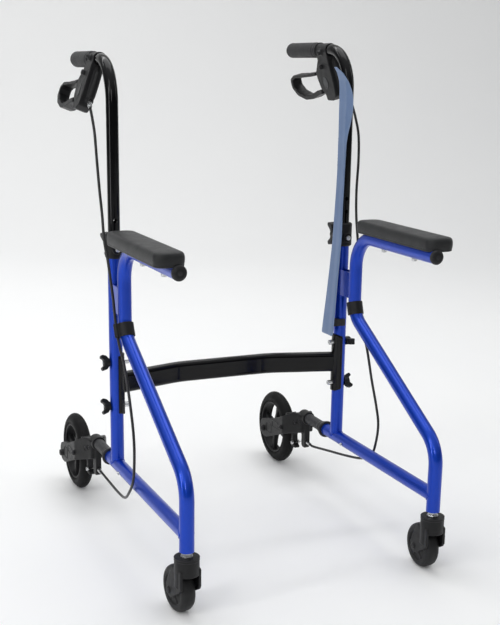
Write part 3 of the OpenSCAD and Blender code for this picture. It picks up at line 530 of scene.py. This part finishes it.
def make_pad(side):
    """A foam pad with a full, crowned top, soft sides and a thin moulded line above its base."""
    name = f"{side}_armrest_pad"
    low, high = (Vector(v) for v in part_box(name))
    mid = (low + high) / 2
    half_w, half_l = (high.x - low.x) / 2 / MM, (high.y - low.y) / 2 / MM
    tall = (high.z - low.z) / MM
    # (inset from the outline, height, corner radius), for a pad that is layers_tall high
    layers_tall = 25
    layers = [
        (9, 0.0, 10), (3.0, 0.0, 14), (1.6, 0.5, 15), (0.9, 1.6, 15.5), (0.7, 3.2, 16), (1.0, 3.8, 16),
        (0.6, 4.6, 16), (0.2, 8.0, 16), (0.0, 12.0, 16), (0.1, 15.5, 16), (0.5, 18.3, 16), (1.3, 20.6, 15.5),
        (2.5, 22.2, 15), (4.1, 23.3, 14), (6.0, 23.9, 13), (8.6, 24.25, 12), (12.5, 24.6, 10),
        (17.5, 24.85, 7), (22.0, 25.0, 4), (25.2, 25.0, 1.0)]
    bm = bmesh.new()
    rings = []
    for inset, z, corner in layers:
        rings.append([
            (mid.x + x * MM, mid.y + y * MM, low.z + z * tall / layers_tall * MM)
            for x, y in pad_ring(half_w - inset, half_l - inset, corner)])
    add_rings(bm, rings)
    obj = piece(f"{name}_foam", bm, "pad_vinyl", "frame", [name], sharp=70)


for side in SIDES:
    make_pad(side)


# Moulded parts -------------------------------------------------------------------

for side in SIDES:
    softened(f"{side}_brake_lever", 0.9, 7)
    softened(f"{side}_wheel_fork", 1.1, 14)
    softened(f"{side}_brake_arm", 0.9, 3)
    softened(f"{side}_height_knob", 0.8, 6)
    softened(f"{side}_upper_bar_knob", 0.7, 6)
    softened(f"{side}_lower_bar_knob", 0.7, 6)
softened("height_collars", 0.8, 3)
softened("crossbar_saddles", 0.8, 4)
softened("cable_clips", 0.6, 3)


# Tyres -----------------------------------------------------------------------------

RIM_R = 59.0     # the rim's outside and the tyre's inside, in mm
HEAD_TALL = 24   # the round head of a castor fork, in mm
HEAD_R = 20.8


def make_tyre(side):
    """A cushion tyre with two fine mould lines and a bead line against the rim."""
    name = f"{side}_tyre"
    low, high = (Vector(v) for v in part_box(name))
    mid = (low + high) / 2
    r, w = (high.z - low.z) / 2 / MM, (high.x - low.x) / 2 / MM
    inner = RIM_R
    half = [
        (inner, w - 4.2), (inner + 1.2, w - 2.2), (inner + 3.2, w - 1.2), (inner + 4.0, w - 1.5),
        (inner + 4.8, w - 0.9), (r - 18, w - 0.2), (r - 14, w), (r - 11, w - 0.7), (r - 8, w - 2.2),
        (r - 5.5, w - 4.0), (r - 3.4, w - 6.0), (r - 1.9, w - 8.0), (r - 0.9, w - 10.0), (r - 1.1, w - 10.5),
        (r - 0.5, w - 11.0), (r - 0.1, 1.4)]
    profile = [(a * MM, b * MM) for a, b in half] + [(a * MM, -b * MM) for a, b in reversed(half)]
    bm = bmesh.new()
    add_revolve(bm, profile, aim(mid, (1, 0, 0)), 144)
    piece(f"{name}_moulded", bm, "tyre", f"{side}_wheel", [name], sharp=50)


def make_castor_wheel(side):
    """A castor roller: a soft tread on a dished hub with six shallow ribs."""
    name = f"{side}_castor_wheel"
    low, high = (Vector(v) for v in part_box(name))
    mid = (low + high) / 2
    r, h = 40.0, 13.0
    half = [
        (4.1, h + 0.7), (10.6, h + 0.7), (11.3, h + 0.2), (12.0, h - 1.8), (13, h - 2.6), (25.6, h - 3.2),
        (26.8, h - 2.6), (27.5, h - 0.8), (28.4, h - 0.2), (29.4, h - 0.5), (30.4, h - 0.1), (34.2, h - 0.2),
        (36.4, h - 1.2), (38.2, h - 3.0), (39.3, h - 5.4), (39.9, h - 8.0), (40.0, 2.0)]
    profile = [(a * MM, b * MM) for a, b in half] + [(a * MM, -b * MM) for a, b in reversed(half)]

    def ribbed(points, angle):
        lift = max(0.0, cos(6 * angle)) ** 6 * 1.6 * MM
        return [(a, b + (lift if b > 0 else -lift) * (1 if 0.0125 < a < 0.026 else 0)) for a, b in points]

    turn = radians(CASTOR_YAW[side])
    bm = bmesh.new()
    add_revolve(bm, profile, aim(mid, (cos(turn), sin(turn), 0)), 120, ribbed)
    piece(f"{name}_moulded", bm, "castor_tyre", f"{side}_castor_roller", [name], sharp=45)


def add_plate(bm, matrix, outline, low, high, plane="yz"):
    """A flat plate of outline, from low to high across its plane, in the matrix's space."""
    def at(a, b, c):
        return matrix @ Vector((c, a, b) if plane == "yz" else (a, b, c))
    add_rings(bm, [[at(a, b, low) for a, b in outline], [at(a, b, high) for a, b in outline]])


def cast(name, bm, stands_for, extra=None, voxel=1.0, passes=4):
    """One moulded piece, with rounded edges, out of bm's overlapping solids and the mesh extra."""
    mesh = bpy.data.meshes.new(name)
    bmesh.ops.recalc_face_normals(bm, faces=bm.faces)
    if extra:
        bm.from_mesh(extra)
    bm.to_mesh(mesh)
    bm.free()
    obj = linked(name, mesh)
    mould(obj, voxel, passes)
    return finish_piece(obj, SLOT_OF[stands_for], BODY_OF[stands_for], [stands_for], 60)


def make_rim(side):
    """A cast rim: a thin ring with lips, four tapered spokes and a hub."""
    name = f"{side}_rim"
    low, high = (Vector(v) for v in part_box(name))
    matrix = aim((low + high) / 2, (1, 0, 0)) @ Matrix.Scale(MM, 4)
    hub = (high.x - low.x) / 2 / MM
    bm = bmesh.new()
    add_revolve(bm, [
        (RIM_R, -10.5), (57.6, -12.3), (55.2, -12.3), (54.4, -11), (56.0, -8), (56.4, 0), (56.0, 8),
        (54.4, 11), (55.2, 12.3), (57.6, 12.3), (RIM_R, 10.5)], matrix, 120)
    add_revolve(bm, [
        (5.1, -hub), (11, -hub), (13.5, 1.5 - hub), (15, 5 - hub),
        (15, hub - 5), (13.5, hub - 1.5), (11, hub), (5.1, hub)], matrix, 60)
    section = [(-1, -0.5), (-0.8, -1), (0.8, -1), (1, -0.5), (1, 0.5), (0.8, 1), (-0.8, 1), (-1, 0.5)]
    for k in range(4):
        turn = matrix @ Matrix.Rotation(radians(12 + 90 * k), 4, "Z")
        rings = []
        for r in (12, 20, 32, 44, 52, 57):
            t = (r - 12) / 45
            w = 8.5 - 3.0 * sin(pi * min(t * 1.1, 1))
            h = 6.5 - 2.0 * t
            rings.append([turn @ Vector((r, a * w, b * h)) for a, b in section])
        add_rings(bm, rings)
    cast(f"{name}_moulded", bm, name)


def make_castor_fork(side):
    """A castor fork whose round head runs down into two thick cheeks, with an arch over the roller."""
    name = f"{side}_castor_fork"
    top = Vector(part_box(name)[1]).z
    stem = Matrix.Translation((SIDES[side] * POST_X, POST_Y + LEG_Y / 1000, 0))
    matrix = stem @ Matrix.Rotation(radians(CASTOR_YAW[side]), 4, "Z") @ Matrix.Scale(MM, 4)
    head_low = top / MM - HEAD_TALL
    limit = acos(14.8 / HEAD_R)
    bm = bmesh.new()
    for face in (-1, 1):
        arc = [(face * HEAD_R * cos(a), HEAD_R * sin(a)) for a in [limit * (k / 8 - 1) for k in range(17)]]
        add_plate(bm, matrix, arc, 55, head_low + 2, "xy")
        cheek = [
            (-14.6, head_low + 2), (-14.9, 55), (-11, 49), (4, 40), (16, 30.5), (30, 28.5), (38, 33),
            (39.5, 45), (33, 60), (24, 72), (17, head_low + 2)]
        add_plate(bm, matrix, cheek, face * 14.7, face * 19.4)
    front = [(HEAD_R * cos(a), HEAD_R * sin(a)) for a in [radians(-140 + 10 * k) for k in range(11)]]
    back = [(15.5 * cos(a), 15.5 * sin(a)) for a in [radians(-40 - 10 * k) for k in range(11)]]
    add_plate(bm, matrix, front + back, 75, head_low + 2, "xy")
    cast(f"{name}_moulded", bm, name, nodes[name].data.copy(), 0.8, 4)
    bm = bmesh.new()
    turns = [2 * pi * k / 60 for k in range(60)]
    for z in (top - 0.0045, top - 0.0005):
        loop = [matrix @ Vector((20.7 * cos(a), 20.7 * sin(a), z / MM)) for a in turns]
        add_tube(bm, loop, 0.7 * MM, 8, closed=True)
    piece(f"{side}_castor_head_rings", bm, "black_plastic", f"{side}_castor", sharp=60)


def make_housing(side):
    """The brake housing with a round barrel down its rear face and a collar for the cable adjuster."""
    name = f"{side}_brake_housing"
    unit = unit_matrix(side)
    bm = bmesh.new()
    barrel = [(4.5, 80, -12), (4.8, 75, -24), (5, 73.5, -48), (5, 73, -66), (5, 73.5, -80)]
    radii = (5.0, 7.5, 8.2, 8.2, 6.8)
    add_tube(bm, [unit @ Vector(p) for p in barrel], lambda i: radii[i] * MM, 28)
    collar = [(4.15, -3), (7.2, -3), (7.4, 2.2), (6.6, 3.0), (4.9, 3.0), (4.15, 2.4)]
    seat = unit @ Matrix.Translation((5, 70, -76)) @ Matrix.Rotation(radians(120), 4, "X")
    add_revolve(bm, collar, seat, 40)
    cast(f"moulded_{name}", bm, name, nodes[name].data.copy(), 0.8, 8)


for side in SIDES:
    make_housing(side)
    make_tyre(side)
    make_rim(side)
    make_castor_wheel(side)
    make_castor_fork(side)


# Grips -------------------------------------------------------------------------------

def make_grip(side):
    """A rubber sleeve with two collars by the brake and fine shallow ribs along its length."""
    name = f"{side}_grip"
    # (place along the handle, radius)
    stations = [
        (119.0, 10.95), (119.0, 14.2), (119.6, 14.6), (123.4, 14.6), (124.2, 13.9), (125.8, 13.9),
        (126.6, 14.6), (130.6, 14.6), (131.4, 13.9), (133.2, 14.0), (134.6, 14.8), (136.5, 15.0)]
    wave = [(136.5 + k * 2.2, 15.0) for k in range(1, 49)]
    tail = [(244.5, 14.7), (247.5, 13.6), (249.8, 11.6), (251.2, 8.6), (251.9, 4.5), (252.0, 1.2)]
    matrix = grip_matrix(side) @ Matrix.Scale(MM, 4)
    bm = bmesh.new()
    rings = []
    for y, radius in stations + wave + tail:
        ring = []
        for k in range(64):
            a = 2 * pi * k / 64
            dip = 0.0
            if 140 < y < 240:
                ribs = 0.35 * (0.5 - 0.5 * cos(2 * pi * (y - 140) / 4.4))
                dip = ribs if abs(sin(a * 2)) > 0.3 else 0.12
            ring.append(matrix @ Vector(((radius - dip) * cos(a), y, (radius - dip) * sin(a))))
        rings.append(ring)
    add_rings(bm, rings)
    piece(f"{name}_rubber", bm, "grip_rubber", f"{side}_handle", [name], sharp=40)


for side in SIDES:
    make_grip(side)


# Shoehorn -----------------------------------------------------------------------------

# Against height: how far out the strip stands, and where its far and near edges are, in mm
HORN_LEAN = [
    (-33, 366), (-28.5, 430), (-24, 500), (-20.9, 556), (-19.2, 600), (-17, 650), (-15.5, 700),
    (-14.6, 760), (-14.6, 835), (-16.5, 852), (-22, 867), (-30, 879)]
HORN_FAR = [
    (13.5, 362), (7, 468), (3.2, 545), (2.5, 600), (2.5, 680), (4.6, 750), (6, 790), (6, 850), (4.4, 879)]
HORN_NEAR = [
    (-27, 362), (-31.4, 366), (-32, 376), (-31.2, 470), (-31.6, 560), (-28.4, 620), (-27.1, 680),
    (-27.8, 735), (-31.5, 755), (-39.5, 778), (-44.6, 800), (-44.2, 818), (-40, 832), (-31, 849),
    (-18, 866), (-2.5, 879)]
RIDGES = (690, 748)  # the heights between which the far edge is ridged


def along(table, z):
    """The table's value at height z, on a smooth line through its points."""
    if z <= table[0][1]:
        return table[0][0]
    for i in range(len(table) - 1):
        (b, z0), (c, z1) = table[i], table[i + 1]
        if z <= z1:
            a = table[max(i - 1, 0)][0]
            d = table[min(i + 2, len(table) - 1)][0]
            t = (z - z0) / (z1 - z0)
            straight = b + (c - b) * t
            bent = 0.5 * (2 * b + (c - a) * t + (2 * a - 5 * b + 4 * c - d) * t ** 2
                          + (3 * b - a - 3 * c + d) * t ** 3)
            return 0.7 * straight + 0.3 * bent
    return table[-1][0]


def ramp(value, start, end):
    """0 before start, 1 after end, smooth between."""
    t = min(max((value - start) / (end - start), 0.0), 1.0)
    return t * t * (3 - 2 * t)


def make_shoehorn():
    """A long moulded strip with a spoon, a raised spine along it and small ridges on its far edge."""
    half_t, across, step = 1.25, 26, 3.1
    bm = bmesh.new()
    rings = []
    for z in [362.3 + k * step for k in range(167)]:
        x, far, near = along(HORN_LEAN, z), along(HORN_FAR, z), along(HORN_NEAR, z)
        if RIDGES[0] < z < RIDGES[1]:
            far += 0.8 * (int((z - RIDGES[0]) / step) % 2)
        end = min(z - 362, 880 - z)
        thin = half_t * min(1.0, 0.45 + 0.12 * end)
        spine = 2.6 * ramp(z, 640, 700) * (1 - ramp(z, 845, 872))
        front, back = [], []
        for k in range(across + 1):
            y = far + (near - far) * k / across
            inset = min(far - y, y - near)
            rounded = thin * (0.35 + 0.65 * ramp(inset, -0.1, 1.8))
            rib = spine * max(0.0, 1 - abs(y + 25.0) / 3.4)
            lobe = max(0.0, -27.0 - y) * 0.12
            groove = 0.5 * max(0.0, 1 - abs(y + 13.0) / 9.0) * (1 - 0.3 * ramp(z, 640, 700))
            front.append(side_point("right", x - rounded - rib + lobe + groove, y, z))
            back.append(side_point("right", x + rounded + lobe, y, z))
        rings.append(front + back[::-1])
    add_rings(bm, rings)
    piece("shoehorn_moulded", bm, "shoehorn_plastic", "shoehorn_body", ["shoehorn"], 60)


make_shoehorn()


# Small fittings --------------------------------------------------------------------------

def add_head(bm, place, axis, r, h, socket=0.45, depth=0.55):
    """A domed screw head with a six-sided recess, standing on place."""
    profile = [(r, -0.15 * h), (r, 0.45 * h), (0.94 * r, 0.72 * h), (0.8 * r, 0.9 * h), (0.6 * r, h)]
    matrix = aim(place, axis)
    turns = [2 * pi * k / 36 for k in range(36)]
    rings = [[matrix @ Vector((wide * cos(a), wide * sin(a), z)) for a in turns] for wide, z in profile]
    for z in (h, h * (1 - depth)):
        ring = []
        for a in turns:
            flat = socket * r * 0.9 / cos((a % (pi / 3)) - pi / 6)
            ring.append(matrix @ Vector((flat * cos(a), flat * sin(a), z)))
        rings.append(ring)
    add_rings(bm, rings)


def make_heads():
    """The screw heads of the frames, wheel forks and brake housings."""
    steel, black = bmesh.new(), bmesh.new()
    for side, sign in SIDES.items():
        for z in (-42, 42):
            add_head(steel, side_point(side, -22.5, 0, BAR_H + z), (-sign, 0, 0), 4.9 * MM, 2.0 * MM)
        add_head(steel, side_point(side, 0, -23, KNOB_H), (0, -1, 0), 4.4 * MM, 2.2 * MM)
        for y in (-160, -265):
            add_head(steel, side_point(side, 0, y, ARM_H - 12.5 - 3.2), (0, 0, -1), 4.7 * MM, 1.8 * MM)
        for out in (-1, 1):
            axis = (out * sign, 0, 0)
            # The axle and pivot heads on the wheel forks are near-black: painted shade for the recesses they
            # sit in.
            add_head(black, side_point(side, out * 38, WHEEL_Y, WHEEL_H), axis, 6.4 * MM, 2.0 * MM, 0.5)
            add_head(black, side_point(side, out * 37, PIVOT_Y, PIVOT_H), axis, 4.9 * MM, 1.8 * MM)
            for y, z, seat in ((140, 134, 14.4), (151, 130, 18.4)):
                add_head(black, side_point(side, out * (seat + 2.0), y, z), axis, 3.8 * MM, 1.2 * MM)
    piece("frame_screw_heads", steel, "steel", "frame", sharp=30)
    piece("fork_screw_heads", black, "black_screw", "frame", sharp=30)
    for side in SIDES:
        bm = bmesh.new()
        unit = unit_matrix(side)
        out = (unit.to_3x3() @ Vector((-1, 0, 0))).normalized()
        add_head(bm, unit @ Vector((-19, 95, -1)), out, 4.2 * MM, 1.6 * MM)
        add_head(bm, unit @ Vector((-16.5, 105, -30)), out, 4.4 * MM, 1.6 * MM)
        add_head(bm, unit @ Vector((14, 105, -30)), -out, 3.9 * MM, 1.4 * MM)
        piece(f"{side}_brake_screw_heads", bm, "black_screw", f"{side}_handle", sharp=30)


make_heads()


def make_badges():
    """A blank raised oval on each flat face of the brake housings."""
    for side in SIDES:
        bm = bmesh.new()
        for face in (-1, 1):
            seat = unit_matrix(side) @ Matrix.Translation((face * 11.8, 101, -62))
            matrix = seat @ Matrix.Rotation(radians(-14), 4, "X") @ Matrix.Rotation(face * pi / 2, 4, "Y")
            turns = [2 * pi * k / 40 for k in range(40)]
            rings = []
            for size, z in ((1.0, 0), (1.0, 0.7), (0.95, 1.0), (0.86, 1.05), (0.82, 0.75), (0.4, 0.85)):
                rings.append([matrix @ Vector((12.5 * size * cos(a), 9.5 * size * sin(a), z)) for a in turns])
            add_rings(bm, rings)
        badges = piece(f"{side}_housing_badges", bm, "black_plastic", f"{side}_handle", sharp=35)
        badges.data.materials[0] = BADGE


make_badges()


def ripple(i):
    """The radius of a weld bead at its point i."""
    return (1.35 + 0.28 * sin(i * 1.9)) * MM


def make_welds():
    """Weld beads where tubes and gusset plates meet."""
    bm = bmesh.new()
    base = BASE_H / MM
    circle = [(WELD_R * cos(2 * pi * k / 90), WELD_R * sin(2 * pi * k / 90)) for k in range(90)]
    for side in SIDES:
        foot = [side_point(side, x, y, base + abs(y)) for x, y in circle]
        add_tube(bm, foot, ripple, 8, closed=True)
        heel = [side_point(side, x, LEG_Y + abs(z), base + z) for x, z in circle]
        add_tube(bm, heel, ripple, 8, closed=True)
        for x in (-8.6, 8.6):
            for y in (-9.3, -47.7):
                seam = [side_point(side, x, y + 0.25 * sin(z), z) for z in range(442, 491)]
                add_tube(bm, seam, ripple, 8)
    piece("weld_beads", bm, "blue_tube", "frame", sharp=60)


make_welds()


def make_brake_wires():
    """The bare inner wire, pinch bolt and lock nuts of each wheel brake."""
    for side, sign in SIDES.items():
        bm = bmesh.new()
        wire = [side_point(side, 0.4 * sin(t * pi / 8), 143 + 43 * t / 8, STOP_H - 17 * t / 8)
                for t in range(9)]
        add_tube(bm, wire, 0.8 * MM, 8)
        obj = piece(f"{side}_brake_wire", bm, "steel", None)
        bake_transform(obj)
        bm = bmesh.new()
        for face in (-1, 1):
            add_head(bm, side_point(side, face * 6.0, 187.5, 71), (face * sign, 0, 0), 4.4 * MM, 4.2 * MM)
        piece(f"{side}_pinch_bolt", bm, "steel", f"{side}_crank", sharp=30)
        bm = bmesh.new()
        for y in (146.6, 149.6):
            matrix = aim(side_point(side, 0, y, STOP_H), (0, 1, 0))
            rings = []
            for size, z in ((4.2, -1.4), (4.6, -1.1), (4.6, 1.1), (4.2, 1.4)):
                corners = [(size * MM * (1 if k % 2 else 0.93), k * pi / 6) for k in range(12)]
                rings.append([matrix @ Vector((r * cos(a), r * sin(a), z * MM)) for r, a in corners])
            add_rings(bm, rings)
        piece(f"{side}_lock_nuts", bm, "steel", "frame", sharp=30)


make_brake_wires()


def make_fork_panels():
    """Raised borders moulded on the outer faces of the wheel forks' legs."""
    corner = 4
    for side in SIDES:
        bm = bmesh.new()
        for out in (-1, 1):
            x = out * 33.9
            for y0, y1, z0, z1 in ((206, 236, 98, 112), (242, 266, 78, 100)):
                loop = []
                left, right, low, high = y0 + corner, y1 - corner, z0 + corner, z1 - corner
                for start, (y, z) in enumerate(((right, high), (left, high), (left, low), (right, low))):
                    for k in range(7):
                        a = (start + k / 6) * pi / 2
                        loop.append(side_point(side, x, y + corner * cos(a), z + corner * sin(a)))
                add_tube(bm, loop, 0.9 * MM, 8, closed=True)
        piece(f"{side}_fork_borders", bm, "black_plastic", "frame", sharp=60)


make_fork_panels()
